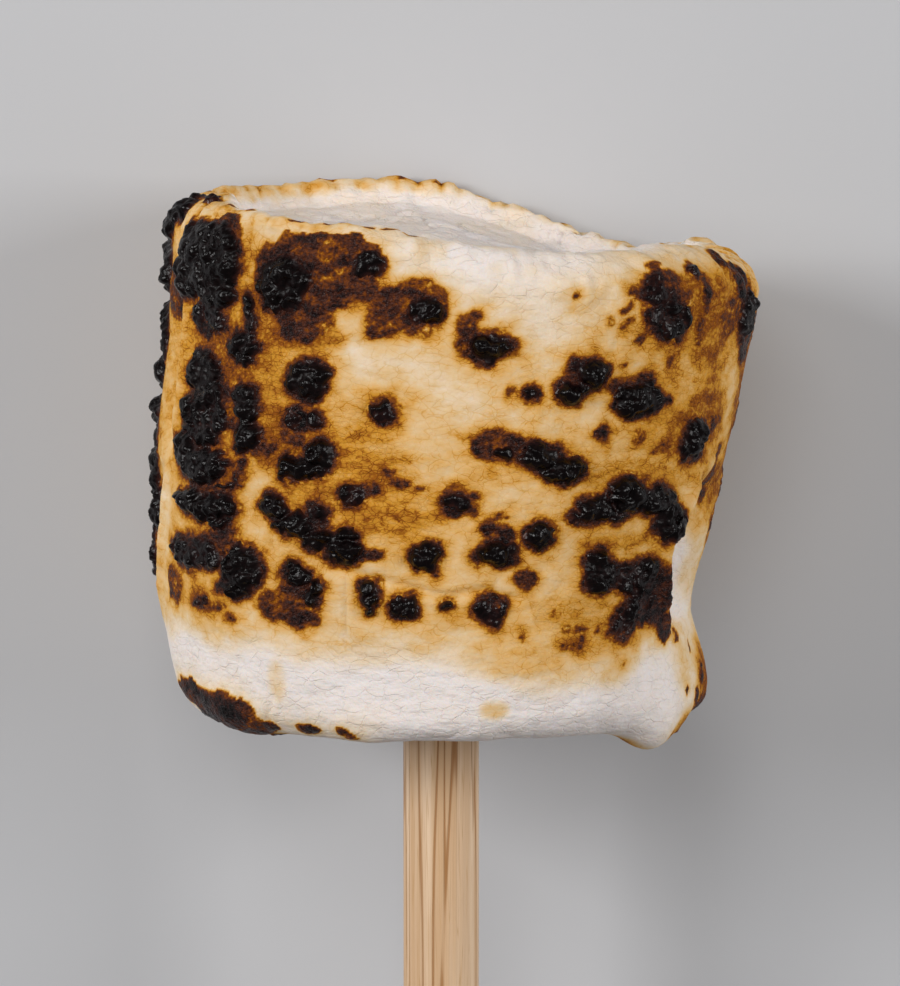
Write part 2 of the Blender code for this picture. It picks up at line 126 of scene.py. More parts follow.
# Burnt lobes seen from the front: across, up, half width, half height, how burnt
FRONT_BURNS = [
    # crust at the top left
    (-12.3, 11.3, 1.6, 2.1, BLACK), (-11.7, 9.6, 1.0, 1.3, BLACK), (-13.1, 10.3, 0.95, 1.4, BLACK),
    (-12.2, 8.0, 0.95, 1.0, UMBER), (-12.0, 8.6, 0.6, 0.6, DARK), (-14.0, 9.3, 0.75, 1.4, BROWN),
    (-11.3, 12.6, 0.7, 1.0, BROWN),
    # wide brown patch under the rim, with two dark cores
    (-8.4, 9.8, 1.45, 1.55, BLACK), (-7.8, 10.6, 2.1, 1.7, BROWN), (-7.3, 8.0, 1.3, 0.95, BROWN),
    (-6.6, 9.4, 1.3, 1.0, BROWN),
    (-3.9, 10.8, 1.05, 0.8, DARK), (-5.6, 11.4, 2.4, 1.0, BROWN), (-4.8, 9.5, 1.6, 0.85, BROWN),
    (-1.6, 8.5, 2.0, 1.3, BROWN), (-0.75, 8.35, 1.15, 0.95, BLACK), (-3.0, 7.6, 0.8, 0.6, BROWN),
    # right of it
    (2.55, 6.45, 1.35, 0.85, BLACK), (1.5, 7.3, 0.55, 0.7, BROWN), (3.75, 6.3, 0.5, 0.4, DARK),
    (1.1, 6.4, 0.5, 0.5, BROWN), (1.9, 8.1, 0.25, 0.15, BROWN),
    # drip
    (-10.1, 8.1, 0.4, 1.0, DARK), (-10.5, 6.6, 0.85, 1.0, BLACK), (-10.25, 5.8, 0.55, 0.5, BLACK),
    # centre left column
    (-7.05, 4.85, 1.2, 1.25, BLACK), (-7.35, 2.6, 1.1, 0.8, UMBER), (-7.8, 1.8, 0.7, 0.6, BROWN),
    (-7.4, 0.1, 1.15, 0.75, BLACK), (-6.35, 0.7, 0.95, 0.95, BLACK), (-8.2, -0.2, 0.45, 0.45, BLACK),
    # far left column
    (-12.45, 5.2, 0.95, 1.3, BLACK), (-12.1, 4.0, 0.7, 0.9, BLACK), (-12.6, 2.9, 1.2, 1.5, DARK),
    (-12.5, 0.2, 1.15, 1.15, BLACK), (-13.4, 0.9, 0.7, 1.2, BLACK), (-12.4, 1.8, 0.6, 0.7, BLACK),
    (-12.5, -1.8, 1.5, 0.95, BLACK), (-11.6, -2.5, 0.65, 0.8, DARK), (-13.1, -4.3, 1.2, 0.9, DARK), (-11.9, -4.5, 1.0, 0.8, UMBER),
    (-11.7, -3.5, 0.8, 0.5, BROWN), (-11.2, 3.7, 0.5, 0.6, BROWN),
    (-14.1, -5.9, 0.35, 0.9, BROWN), (-11.7, -4.3, 0.9, 0.6, BROWN),
    (-10.3, 3.4, 0.7, 1.35, BLACK), (-10.15, 1.8, 0.7, 0.95, BLACK), (-9.4, 1.2, 0.6, 0.5, BROWN),
    (-11.3, 2.3, 0.4, 0.3, BROWN), (-11.4, 0.6, 0.45, 0.3, DARK), (-10.5, 0.3, 0.3, 0.4, DARK),
    (-10.6, -0.45, 0.28, 0.5, DARK), (-11.3, -0.95, 0.5, 0.28, DARK),
    # lower left
    (-10.5, -5.25, 1.05, 1.4, BLACK), (-11.0, -6.2, 0.7, 0.6, BLACK), (-7.7, -5.55, 0.75, 0.75, BLACK),
    (-6.65, -6.4, 0.6, 0.8, BLACK), (-8.3, -7.2, 1.2, 0.8, BROWN), (-7.2, -7.75, 0.9, 0.6, SOOT),
    (-7.7, -6.5, 0.8, 0.6, BROWN), (-12.6, -7.0, 0.4, 0.42, UMBER), (-12.0, -7.3, 0.4, 0.2, BROWN), (-11.2, -7.85, 0.2, 0.2, UMBER),
    # slanting bar
    (-8.75, -1.95, 0.85, 0.85, BLACK), (-7.75, -2.9, 1.0, 0.85, BLACK), (-6.5, -3.6, 1.1, 0.7, BLACK),
    (-5.1, -4.25, 1.1, 0.85, BLACK), (-5.0, -3.5, 0.8, 0.55, BLACK), (-6.6, -2.4, 0.65, 0.65, DARK),
    (-3.45, -4.5, 0.5, 0.3, BROWN),
    # small spots in the middle
    (-4.65, -1.4, 0.8, 0.75, UMBER), (-3.65, -1.2, 0.5, 0.3, BROWN), (-2.0, -0.7, 0.5, 0.24, BROWN),
    (-2.7, -0.1, 0.35, 0.18, BROWN), (-1.0, -1.1, 0.3, 0.12, FAINT), (-2.95, 3.1, 0.9, 0.8, UMBER), (-2.2, 3.2, 0.4, 0.35, BROWN),
    (0.9, -1.85, 0.95, 0.75, UMBER), (-0.85, -4.55, 1.05, 0.95, BLACK), (2.9, -4.5, 1.15, 0.75, BLACK),
    (2.5, -3.1, 0.55, 0.4, UMBER), (3.3, -3.5, 0.45, 0.55, BROWN), (5.1, -3.45, 0.85, 0.9, BLACK),
    (4.45, -5.85, 0.45, 0.5, BROWN), (3.2, -2.6, 0.5, 0.2, FAINT),
    # low row
    (-3.75, -6.6, 0.7, 0.7, DARK), (-3.7, -7.4, 0.4, 0.4, DARK), (-1.95, -7.2, 0.85, 0.85, BLACK),
    (0.3, -7.1, 0.5, 0.35, UMBER), (2.6, -7.4, 1.0, 0.8, UMBER), (2.8, -8.0, 0.5, 0.4, UMBER),
    # right of the middle
    (2.95, 1.2, 1.3, 0.7, BROWN), (3.3, 1.0, 0.8, 0.5, DARK), (5.2, 0.7, 1.1, 0.9, BLACK),
    (6.45, 0.0, 1.15, 0.95, BLACK), (7.1, 0.1, 0.4, 0.5, BLACK), (4.7, 4.0, 0.48, 0.42, UMBER),
    (3.6, 4.1, 0.22, 0.18, BROWN), (6.9, 4.1, 0.85, 0.8, BLACK), (8.0, 5.1, 0.8, 0.95, BLACK),
    (7.15, 5.3, 0.5, 0.5, DARK),
    (10.45, 3.7, 1.15, 1.15, BLACK), (10.85, 4.7, 0.5, 0.5, BLACK), (11.7, 3.7, 0.4, 0.35, DARK),
    (9.35, 4.3, 0.4, 0.4, BROWN), (9.6, 5.5, 0.2, 0.25, FAINT), (8.45, 1.8, 0.38, 0.36, UMBER),
    (10.5, 1.8, 0.16, 0.18, BROWN), (11.5, 1.0, 0.4, 0.3, FAINT),
    # top right
    (11.7, 8.2, 0.9, 0.85, DARK), (12.4, 7.9, 0.7, 1.0, DARK), (11.9, 7.3, 0.8, 0.6, DARK),
    (11.6, 9.3, 0.8, 0.8, UMBER), (11.4, 10.1, 0.5, 0.4, UMBER), (12.4, 10.1, 0.35, 0.3, BROWN),
    (11.8, 10.9, 0.3, 0.2, BROWN), (10.6, 9.5, 0.45, 0.3, BROWN), (12.6, 9.2, 0.5, 0.5, BROWN),
    (10.7, 9.3, 0.35, 0.35, FAINT), (12.9, 8.8, 0.3, 0.9, FAINT),
    (13.5, 10.5, 0.28, 0.45, UMBER), (13.95, 9.6, 0.22, 0.7, UMBER), (13.95, 8.4, 0.15, 0.8, BROWN),
    (13.65, 7.3, 0.12, 0.6, BROWN), (15.2, 7.9, 0.35, 1.0, FAINT),
    (9.85, 8.5, 0.13, 0.17, BROWN), (9.25, 7.8, 0.10, 0.10, BROWN), (9.8, 7.65, 0.10, 0.10, BROWN),
    (7.0, 8.95, 0.13, 0.18, FAINT), (10.6, 6.9, 0.2, 0.18, FAINT), (12.2, 5.8, 0.15, 0.3, FAINT),
    # right edge
    (13.25, 1.6, 0.62, 1.35, BLACK), (13.7, -1.4, 0.28, 0.7, DARK), (14.4, -0.6, 0.2, 1.2, FAINT),
    (14.4, 2.5, 0.28, 0.33, BROWN), (14.6, 0.6, 0.15, 0.9, FAINT),
    (8.15, -2.1, 1.1, 0.95, BLACK), (9.9, -1.35, 1.05, 1.1, BLACK), (11.35, -1.6, 0.95, 1.0, BLACK),
    (11.9, -2.7, 0.8, 1.15, BLACK), (9.2, -2.5, 0.9, 0.45, DARK), (7.0, -2.6, 0.5, 0.4, DARK),
    (8.4, -5.45, 1.05, 1.25, BLACK), (10.35, -5.6, 1.35, 1.1, DARK), (10.5, -7.0, 0.9, 1.1, UMBER), (11.1, -7.2, 0.9, 1.1, SOOT), (11.6, -6.4, 0.6, 1.3, SOOT), (10.9, -6.6, 0.6, 0.6, DARK),
    (9.6, -8.0, 0.7, 1.0, UMBER), (11.7, -8.3, 0.35, 0.85, SOOT), (9.1, -8.7, 0.4, 0.3, BROWN),
    (6.6, -8.6, 0.2, 0.16, FAINT), (7.3, -8.4, 0.2, 0.14, BROWN), (6.3, -9.3, 0.28, 0.18, FAINT),
    (7.1, -9.3, 0.22, 0.15, BROWN), (7.4, -8.9, 0.14, 0.2, FAINT), (8.2, -8.3, 0.2, 0.14, FAINT),
    (9.6, -10.1, 0.09, 0.09, FAINT), (5.8, -7.7, 0.12, 0.2, FAINT), (4.3, -8.9, 0.12, 0.2, FAINT),
    (12.4, -8.7, 0.12, 0.3, FAINT),
    # bottom edge
    (-13.0, -12.0, 0.9, 0.8, SOOT), (-12.0, -13.3, 1.2, 0.7, SOOT), (-10.4, -14.3, 1.0, 0.5, SOOT),
    (-11.3, -12.9, 1.3, 0.9, SOOT), (-9.9, -13.9, 1.0, 0.6, BROWN), (-11.9, -12.3, 1.0, 0.6, BROWN),
    (-7.2, -14.25, 0.6, 0.3, BROWN), (-5.0, -14.5, 0.6, 0.25, BROWN),
]

# Burnt lobes on the edges of that view: degrees around, height, half width, half height
EDGE_BURNS = [
    (-84, 26.2, 1.6, 1.3, BLACK), (-77, 27.0, 1.0, 0.8, BLACK), (-66, 27.9, 0.7, 0.35, UMBER),
    (-97, 24.1, 1.6, 1.4, BLACK), (-88, 23.4, 1.3, 1.3, BLACK),
    (-94, 21.1, 1.2, 1.0, BLACK), (-95, 18.4, 1.4, 1.5, BLACK), (-96, 16.0, 1.6, 1.1, BLACK),
    (-92, 12.9, 1.4, 1.6, BLACK), (-88, 10.8, 1.0, 1.2, BLACK), (-93, 8.8, 1.0, 1.8, DARK),
    (-100, 14.3, 1.2, 1.0, BLACK), (-80, 27.8, 1.0, 0.5, DARK),
    (-90, 20.0, 1.0, 1.6, BLACK), (-88, 14.6, 1.0, 1.2, DARK),
    (67, 24.4, 0.5, 0.7, SOOT), (71, 23.2, 0.8, 1.1, SOOT), (75, 21.6, 1.0, 1.4, DARK),
    (79, 19.9, 0.8, 1.1, SOOT), (92, 20.9, 1.0, 1.4, SOOT),
    (88, 16.0, 0.5, 0.9, BROWN), (88, 12.4, 0.5, 1.0, SOOT), (84, 10.6, 0.2, 0.9, BROWN),
    (-48, -1.3, 2.0, 0.6, SOOT), (-33, -1.6, 0.7, 0.3, BROWN), (-24, -1.6, 0.6, 0.25, BROWN),
    (76, 2.6, 0.3, 0.5, BROWN), (73, 1.6, 0.35, 0.3, BROWN), (79, 1.2, 0.6, 0.7, BROWN),
    (68, 0.2, 0.25, 0.2, BROWN), (72, 0.4, 0.35, 0.3, BROWN), (64, -0.7, 0.3, 0.15, BROWN),
    (67, -0.9, 0.6, 0.25, BROWN), (58, -1.3, 0.3, 0.12, BROWN), (53, -1.6, 0.5, 0.18, BROWN),
    (46, -1.9, 0.5, 0.16, BROWN), (61, 0.3, 0.12, 0.1, BROWN), (66, 2.0, 0.12, 0.16, BROWN),
    (71, 4.0, 0.12, 0.3, FAINT), (97, 2.2, 1.4, 1.3, BROWN),
]

# Thin burnt slivers along the rim's crest: degrees around, half width
RIM_BURNS = [(-55, 0.5), (-46, 0.3), (-33, 0.7), (-26, 0.3), (-22, 0.25), (-17.4, 0.5), (-11.7, 0.45),
             (-7.6, 0.25), (59, 0.3), (152, 0.6), (170, 0.2), (182, 0.35), (190, 0.2), (208, 0.5),
             (226, 0.6), (248, 0.5), (262, 0.3)]

# Browning on the front: across, up, half width, half height, how toasted (0 is white)
FRONT_TOAST = [
    # cream and white
    (4.6, 10.2, 5.2, 2.6, 0.12), (0.6, 11.2, 3.6, 1.8, 0.05), (5.6, 7.6, 3.0, 1.1, 0.20),
    (-2.6, 6.0, 3.2, 1.6, 0.26), (-0.6, 3.9, 1.6, 1.3, 0.34), (3.4, 4.6, 1.8, 1.1, 0.36),
    (7.6, 2.8, 2.8, 0.9, 0.36), (11.8, 0.2, 0.8, 0.8, 0.45), (4.6, -1.3, 1.6, 0.7, 0.42),
    (-0.4, -5.8, 2.8, 0.5, 0.42),
    (6.6, -3.4, 0.8, 1.8, 0.42), (-5.2, -6.6, 0.6, 1.6, 0.36), (-2.6, -8.6, 1.6, 0.7, 0.36),
    (13.2, -5.8, 0.9, 2.6, 0.08),
    # amber
    (-7.4, 6.9, 2.0, 0.8, 0.88), (-11.6, 5.0, 2.4, 4.0, 1.0), (-12.2, -0.8, 1.9, 3.0, 0.92),
    (-7.6, 0.6, 2.3, 2.9, 0.88), (-4.4, 0.4, 2.4, 1.6, 0.76), (-2.6, -2.6, 2.6, 1.3, 0.76),
    (-12.6, -6.4, 1.6, 1.4, 0.66), (-13.7, 6.0, 0.6, 2.6, 0.62),
    (11.8, 6.4, 1.6, 1.0, 0.50), (12.4, 9.4, 2.4, 2.6, 0.66), (14.2, 8.0, 1.4, 3.6, 0.90), (13.6, 2.8, 1.5, 2.8, 0.95),
    (12.6, 4.8, 1.2, 1.4, 0.66), (14.4, -1.6, 0.9, 2.2, 0.88), (10.4, -0.4, 2.2, 0.8, 0.72),
    (9.6, -3.8, 2.0, 0.5, 0.78), (7.2, -7.6, 2.4, 1.6, 0.62), (8.5, -8.8, 2.2, 1.1, 0.66),
    (4.4, -9.6, 2.2, 1.2, 0.52), (8.6, 6.8, 1.4, 0.8, 0.42), (9.6, 9.0, 1.0, 1.2, 0.24),
    # pale again between the burns at the left
    (-9.6, -1.2, 0.9, 1.2, 0.34), (-9.4, -3.2, 0.9, 1.2, 0.40), (-9.0, -4.6, 0.8, 1.0, 0.50),
    (-13.9, -1.0, 0.5, 6.0, 0.52),
]
# The same in the white band, over its paleness
BAND_TOAST = [(2.8, -12.95, 0.75, 0.5, 0.50), (-8.6, -11.2, 0.4, 1.2, 0.26), (-3.6, -10.0, 1.0, 0.4, 0.20)]
# The same on the edges of that view: degrees around, height, half width, half height
EDGE_TOAST = [(-80, 18.5, 2.6, 5.0, 0.66), (-88, 9.0, 2.4, 4.0, 0.84), (86, 17.0, 2.4, 5.0, 0.96),
              (74, 22.0, 2.0, 2.0, 0.78), (-90, 13.5, 2.0, 3.0, 0.88), (86, 10.4, 1.6, 2.0, 0.86),
              (80, 2.4, 2.0, 2.4, 0.94), (69, 0.2, 1.8, 1.0, 0.90), (58, -1.2, 2.4, 0.7, 0.84),
              (66, 3.6, 1.4, 1.6, 0.36), (76, 8.6, 1.4, 2.0, 0.34), (72, 11.2, 1.0, 1.2, 0.56),
              (-50, -0.9, 3.4, 0.8, 0.6), (-26, -1.3, 3.0, 0.3, 0.34), (5, -1.4, 5.0, 0.2, 0.2)]
BODY_TOAST = 0.43

# Edge of the white band along the bottom: degrees around and height
BAND_EDGE = [(0, 5.0), (25, 3.3), (40, 3.7), (50, 4.8), (62, 4.8), (90, 5.2), (140, 4.4), (200, 5.6), (250, 4.4),
             (285, 5.4), (320, 4.9)]

# How toasted the rim's crest is, by degrees around
RIM_TOAST = [(0, 0.12), (25, 0.06), (50, 0.10), (66, 0.22), (80, 0.40), (95, 0.45), (130, 0.20),
             (150, 0.30), (180, 0.44), (230, 0.46), (275, 0.54), (310, 0.44), (340, 0.36)]

# How far past the crest that browning reaches, by degrees around
RIM_TAN = [(0, -0.6), (60, -0.5), (110, -0.1), (160, 0.0), (185, 0.15), (270, 0.3), (310, -0.2),
           (340, -0.3)]

# Creases seen from the front: points along each, depth and half width
CREASES = [
    ([(-5.2, -4.6), (-5.0, -6.5), (-5.1, -9.2)], 0.12, 0.12),
    ([(-5.5, -5.2), (-2.5, -6.0), (0.2, -6.7), (2.2, -6.4), (4.0, -6.9)], 0.20, 0.22),
    ([(-10.8, -10.0), (-8.8, -12.2), (-9.2, -13.6)], 0.10, 0.14),
]

# Burns that the photo doesn't show: seeded clusters on the far side
BACK_CLUSTERS = 34
BACK_SEED = 5

# Puffed teeth along the rim, by degrees around: how wide each is and how strong the cuts are
TOOTH_SEED = 8
TOOTH_WIDTHS = [(0, 1.2), (60, 0.7), (100, 0.6), (165, 0.62), (185, 1.1), (300, 1.3)]
TOOTH_STRENGTH = [(0, 0.0), (55, 0.1), (80, 1.0), (165, 1.0), (190, 0.6), (260, 0.55), (296, 0.5),
                  (330, 0.15)]

# --------------------------------------------------------------- mesh sizes
# Rows of the skin's grid, by stretch: how many, closer together on the side
SKIN_ROWS = {"bottom": 14, "heel": 22, "side": 118, "rim": 14, "fall": 18, "dish": 36}
SKIN_COLUMNS = 444
FRONT_DENSITY = 2.3              # columns are this much closer in front than behind
CRUST_STEP = 0.085               # spacing of the burnt crust's finer grid
CRUST_RANGE = (-2.2, 29.5)       # climb that the crust's grid covers


# ------------------------------------------------------------------- curves
def smooth_through(knots, value):
    """Cubic through (position, size) knots, for an array of positions."""
    places, sizes = np.array(knots, float).T
    slopes = np.gradient(sizes, places)
    value = np.clip(value, places[0], places[-1])
    i = np.clip(np.searchsorted(places, value, side="right") - 1, 0, len(places) - 2)
    span = places[i + 1] - places[i]
    t = (value - places[i]) / span
    start = sizes[i] * (1 + 2 * t) + slopes[i] * span * t
    end = sizes[i + 1] * (3 - 2 * t) - slopes[i + 1] * span * (1 - t)
    return start * (1 - t) ** 2 + end * t ** 2


def smooth_around(knots, degrees):
    """The same cubic, closed on itself once around."""
    before = [(angle - 360, size) for angle, size in knots[-2:]]
    after = [(angle + 360, size) for angle, size in knots[:2]]
    return smooth_through(before + knots + after, degrees % 360)


def ease(value):
    """0 below 0, 1 above 1 and a smooth rise between."""
    t = np.clip(value, 0.0, 1.0)
    return t * t * (3 - 2 * t)


def turn_between(degrees, middle):
    """Signed turn from middle to degrees, from -180 to 180."""
    return (degrees - middle + 180) % 360 - 180


# -------------------------------------------------------------------- noise
TABLE_SIZE = 64


def lattice(seed, channels):
    return np.random.RandomState(seed).uniform(-1, 1, (TABLE_SIZE,) * 3 + (channels,))


def soft_noise(points, size, seed):
    """Smooth noise from -1 to 1, with lumps of the given size."""
    table = lattice(seed, 1)[..., 0]
    place = points / size
    cell = np.floor(place).astype(int)
    t = place - cell
    t = t * t * t * (t * (t * 6 - 15) + 10)
    total = np.zeros(len(points))
    for corner in itertools.product((0, 1), repeat=3):
        index = (cell + corner) % TABLE_SIZE
        weight = np.prod(np.where(corner, t, 1 - t), axis=1)
        total += weight * table[index[:, 0], index[:, 1], index[:, 2]]
    return total


def layered_noise(points, size, seed, layers):
    """Soft noise with finer layers, each half the size and half the depth."""
    total = np.zeros(len(points))
    for layer in range(layers):
        total += soft_noise(points, size / 2 ** layer, seed + layer) / 2 ** layer
    return total


def ridges(points, size, seed):
    """Narrow lines, 1 along their middle, where smooth noise crosses zero."""
    return np.exp(-(soft_noise(points, size, seed) / 0.09) ** 2)


def cells(points, size, seed):
    """Distance to the nearest of points strewn this far apart, and that point's own chance."""
    table = lattice(seed, 4) * 0.5 + 0.5
    place = points / size
    cell = np.floor(place).astype(int)
    nearest = np.full(len(points), 9.0)
    pick = np.zeros(len(points))
    for corner in itertools.product((-1, 0, 1), repeat=3):
        at = cell + corner
        index = at % TABLE_SIZE
        row = table[index[:, 0], index[:, 1], index[:, 2]]
        gap = np.linalg.norm(place - at - row[:, :3], axis=1)
        pick = np.where(gap < nearest, row[:, 3], pick)
        nearest = np.minimum(nearest, gap)
    return nearest * size, pick


def blisters(points, size, seed, burst=0.0):
    """Round domes from 0 to 1, about this far apart, a share of them burst into craters."""
    nearest, pick = cells(points, size, seed)
    share = nearest / (0.72 * size)
    dome = np.sqrt(np.clip(1 - share ** 2, 0, 1)) * (0.55 + 0.45 * (pick * 7 % 1))
    crater = 0.9 * np.exp(-((share - 0.55) / 0.2) ** 2)
    return np.where(pick < burst, crater, dome)


# --------------------------------------------------------- form of the drum
def side_radius(degrees, height):
    """Skin's distance from the axis, from the four sides' own outlines."""
    angle = np.radians(degrees)
    forward = np.cos(angle)
    rightward = np.sin(angle)
    front_or_back = np.where(forward > 0, smooth_through(FRONT_RADII, height),
                             smooth_through(BACK_RADII, height))
    right_or_left = np.where(rightward > 0, smooth_through(RIGHT_RADII, height),
                             smooth_through(LEFT_RADII, height))
    radius = front_or_back * forward ** 2 + right_or_left * rightward ** 2
    return radius * (1 + SQUARENESS * (1 - np.cos(4 * angle)) / 2)


def fold_step(fold, degrees, height):
    """How far into one fold, in degrees past its edge, and how strong the fold is."""
    low, high = fold["edge"][0][0], fold["edge"][-1][0]
    edge = smooth_through(fold["edge"], height)
    past = (turn_between(degrees, 0) - edge) * math.copysign(1, fold["spread"])
    return past, ease((height - low) / FOLD_FADE) * ease((high - height) / FOLD_FADE + 0.5)


def fold_recess(degrees, height):
    """How far the folds draw the skin in, past the lip along their edge."""
    recess = np.zeros_like(height)
    for fold in FOLDS:
        past, reach = fold_step(fold, degrees, height)
        back_out = 1 - ease(past / abs(fold["spread"]))
        recess += fold["depth"] * reach * ease(past / FOLD_EDGE + 0.5) * back_out
        recess -= fold["depth"] * reach * FOLD_LIP * np.exp(-((past + FOLD_EDGE) / 1.6) ** 2)
    return recess


def fold_shelter(degrees, height):
    """Where a fold kept the skin white, from 0 to 1."""
    shelter = np.zeros_like(height)
    for fold in FOLDS:
        if fold["white"]:
            past, reach = fold_step(fold, degrees, height)
            back_out = 1 - ease((past / abs(fold["spread"]) - 0.5) / 0.5)
            low = ease((WHITE_BELOW - height) / 1.6 + 0.5)
            shelter = np.maximum(shelter, low * ease(reach * 2) * ease(past / FOLD_EDGE + 0.3) * back_out)
    return shelter


class Drum:
    """The smooth drum at given degrees around and climbs.

    Climb is height along the side, and goes on as a length along the skin
    under the heel, over the rim and into the dish. Past_rim is the climb
    since the start of the rim's corner.
    """

    def __init__(self, degrees, climb):
        rim = smooth_around(RIM_HEIGHTS, degrees)
        heel = smooth_around(HEEL_CORNERS, degrees)
        self.corner = smooth_around(RIM_CORNERS, degrees)
        self.fall = smooth_around(RIM_FALLS, degrees)
        self.past_rim = climb - (rim - self.corner)
        quarter = math.pi / 2
        heel_turn = np.clip(climb / heel - 1, -quarter, 0)
        rim_turn = np.clip(self.past_rim / self.corner, 0, quarter)
        self.inward = np.maximum(self.past_rim - self.corner * quarter, 0)
        under = np.maximum(heel * (1 - quarter) - climb, 0)
        bottom_share = 1 - under / (NOMINAL_RADIUS - heel)
        floor_radius = NOMINAL_RADIUS - self.corner - self.fall
        toward_middle = np.clip((self.inward - self.fall) / floor_radius, 0, 1)
        lip = rim - DISH_DEPTH
        centre = MEAN_HEIGHT - DISH_DEPTH

        radius = NOMINAL_RADIUS - heel * (1 - np.cos(heel_turn)) - self.corner * (1 - np.cos(rim_turn))
        radius -= under + self.inward
        height = np.clip(climb, heel, rim - self.corner)
        height += smooth_around(BOTTOM_HEIGHTS, degrees) * (1 - ease(climb / 5))
        height += heel * np.sin(heel_turn) + self.corner * np.sin(rim_turn)
        height -= DISH_DEPTH * ease(self.inward / self.fall)
        height += (centre - lip) * (1 - (1 - toward_middle) ** 2)
        height += BOTTOM_DIMPLE * (1 - ease(bottom_share))
        outward = radius / NOMINAL_RADIUS

        radius = outward * side_radius(degrees, height)
        radius -= fold_recess(degrees, height) * ease((outward - 0.55) / 0.4)
        angle = np.radians(degrees)
        self.points = np.stack([radius * np.sin(angle), radius * np.cos(angle), height], axis=-1)
        self.degrees, self.climb = degrees, climb


def column_angles():
    """Degrees around of each column, closer together in front."""
    fine = np.linspace(-180, 180, 3601)
    density = 1 + (FRONT_DENSITY - 1) * ease((115 - np.abs(fine)) / 20)
    along = np.concatenate([[0], np.cumsum((density[1:] + density[:-1]) / 2)])
    return np.interp(np.arange(SKIN_COLUMNS) / SKIN_COLUMNS * along[-1], along, fine)


def skin_grid():
    """Degrees around and climb of the skin's grid, from the bottom's middle to the dish's."""
    degrees = column_angles()
    heel = smooth_around(HEEL_CORNERS, degrees)
    corner = smooth_around(RIM_CORNERS, degrees)
    fall = smooth_around(RIM_FALLS, degrees)
    shoulder = smooth_around(RIM_HEIGHTS, degrees) - corner
    low = heel * (1 - math.pi / 2)
    crest = shoulder + corner * math.pi / 2
    marks = [low - 0.99 * (NOMINAL_RADIUS - heel), low, heel, shoulder, crest, crest + fall,
             crest + 0.99 * (NOMINAL_RADIUS - corner)]
    rows = []
    for start, stop, count in zip(marks, marks[1:], SKIN_ROWS.values()):
        rows += [start + (stop - start) * row / count for row in range(count)]
    climb = np.array(rows)
    return np.tile(degrees, (len(climb), 1)), climb


def crust_grid():
    """Degrees around and climb of an even, finer grid over the whole side."""
    columns = round(2 * math.pi * NOMINAL_RADIUS / CRUST_STEP)
    degrees = np.arange(columns) / columns * 360 - 180
    climb = np.arange(*CRUST_RANGE, CRUST_STEP)
    return np.meshgrid(degrees, climb)


def grid_normals(points):
    """Unit normals of the closed-around grid, pointing out."""
    around = np.roll(points, -1, axis=1) - np.roll(points, 1, axis=1)
    along = np.gradient(points, axis=0)
    normal = np.cross(along, around)
    return normal / (np.linalg.norm(normal, axis=-1, keepdims=True) + 1e-9)


# -------------------------------------------------- from the view to the skin
def seen_on_skin(across, up):
    """Degrees around, height and facing of a front point that the camera sees there."""
    forward = 13.0
    height = up + MIDDLE
    off_x, off_y = VIEW_OFFSET
    for _ in range(8):
        toward = forward * math.cos(EYE_TILT) + (height - MIDDLE) * math.sin(EYE_TILT)
        scale = EYE_DISTANCE / (EYE_DISTANCE - toward)
        level = off_y + (up - off_y) / scale
        height = MIDDLE + (level + forward * math.sin(EYE_TILT)) / math.cos(EYE_TILT)
        radius = float(side_radius(np.array(math.degrees(math.atan2(across, forward))), np.array(height)))
        sideways = min(max((off_x + (across - off_x) / scale) / radius, -0.985), 0.985)
        forward = radius * math.sqrt(1 - sideways ** 2)
    return math.degrees(math.asin(sideways)), height, forward / radius


def seen_lobe(across, up, half_width, half_height):
    """A lobe seen from the front, laid on the skin where it faces away to the side."""
    degrees, height, facing = seen_on_skin(across, up)
    return degrees, height, half_width / max(facing, 0.38), half_height


def lobe_gap(sideways, upward, half_width, half_height):
    """Signed distance along the skin from a lobe's edge, negative inside it."""
    share = np.hypot(sideways / half_width, upward / half_height) + 1e-6
    steep = np.hypot(sideways / half_width ** 2, upward / half_height ** 2) + 1e-6
    return share * (share - 1) / steep


def near_lobe(degrees, climb, lobe, reach):
    """The points within reach of a lobe, and their signed distance from its edge."""
    middle, level, half_width, half_height = lobe
    sideways = np.radians(turn_between(degrees, middle)) * NOMINAL_RADIUS
    upward = climb - level
    near = np.flatnonzero((np.abs(sideways) < half_width + reach) & (np.abs(upward) < half_height + reach))
    return near, lobe_gap(sideways[near], upward[near], half_width, half_height)


def all_burns():
    """Every burnt lobe on the skin as (lobe, how burnt)."""
    burns = [(seen_lobe(*burn[:4]), burn[4]) for burn in FRONT_BURNS]
    burns += [(burn[:4], burn[4]) for burn in EDGE_BURNS]
    for degrees, half_width in RIM_BURNS:
        turn = np.array(float(degrees))
        corner = smooth_around(RIM_CORNERS, turn)
        crest = float(smooth_around(RIM_HEIGHTS, turn) + corner * (math.pi / 2 - 1))
        burns.append(((degrees, crest - 0.15, half_width, 0.16), SCORCH))
    chance = np.random.RandomState(BACK_SEED)
    for _ in range(BACK_CLUSTERS):
        middle, level = chance.uniform(104, 256), chance.uniform(6.5, 22.0)
        size = chance.uniform(0.35, 1.3)
        burnt = BLACK if chance.uniform() < 0.62 else (DARK if chance.uniform() < 0.6 else BROWN)
        for _ in range(chance.randint(1, 5)):
            lobe = (middle + chance.normal() * 5 * size, level + chance.normal() * 0.8 * size,
                    size * chance.uniform(0.6, 1.1), size * chance.uniform(0.6, 1.1))
            burns.append((lobe, burnt))
    return burns


BURN_REACH = 2.2


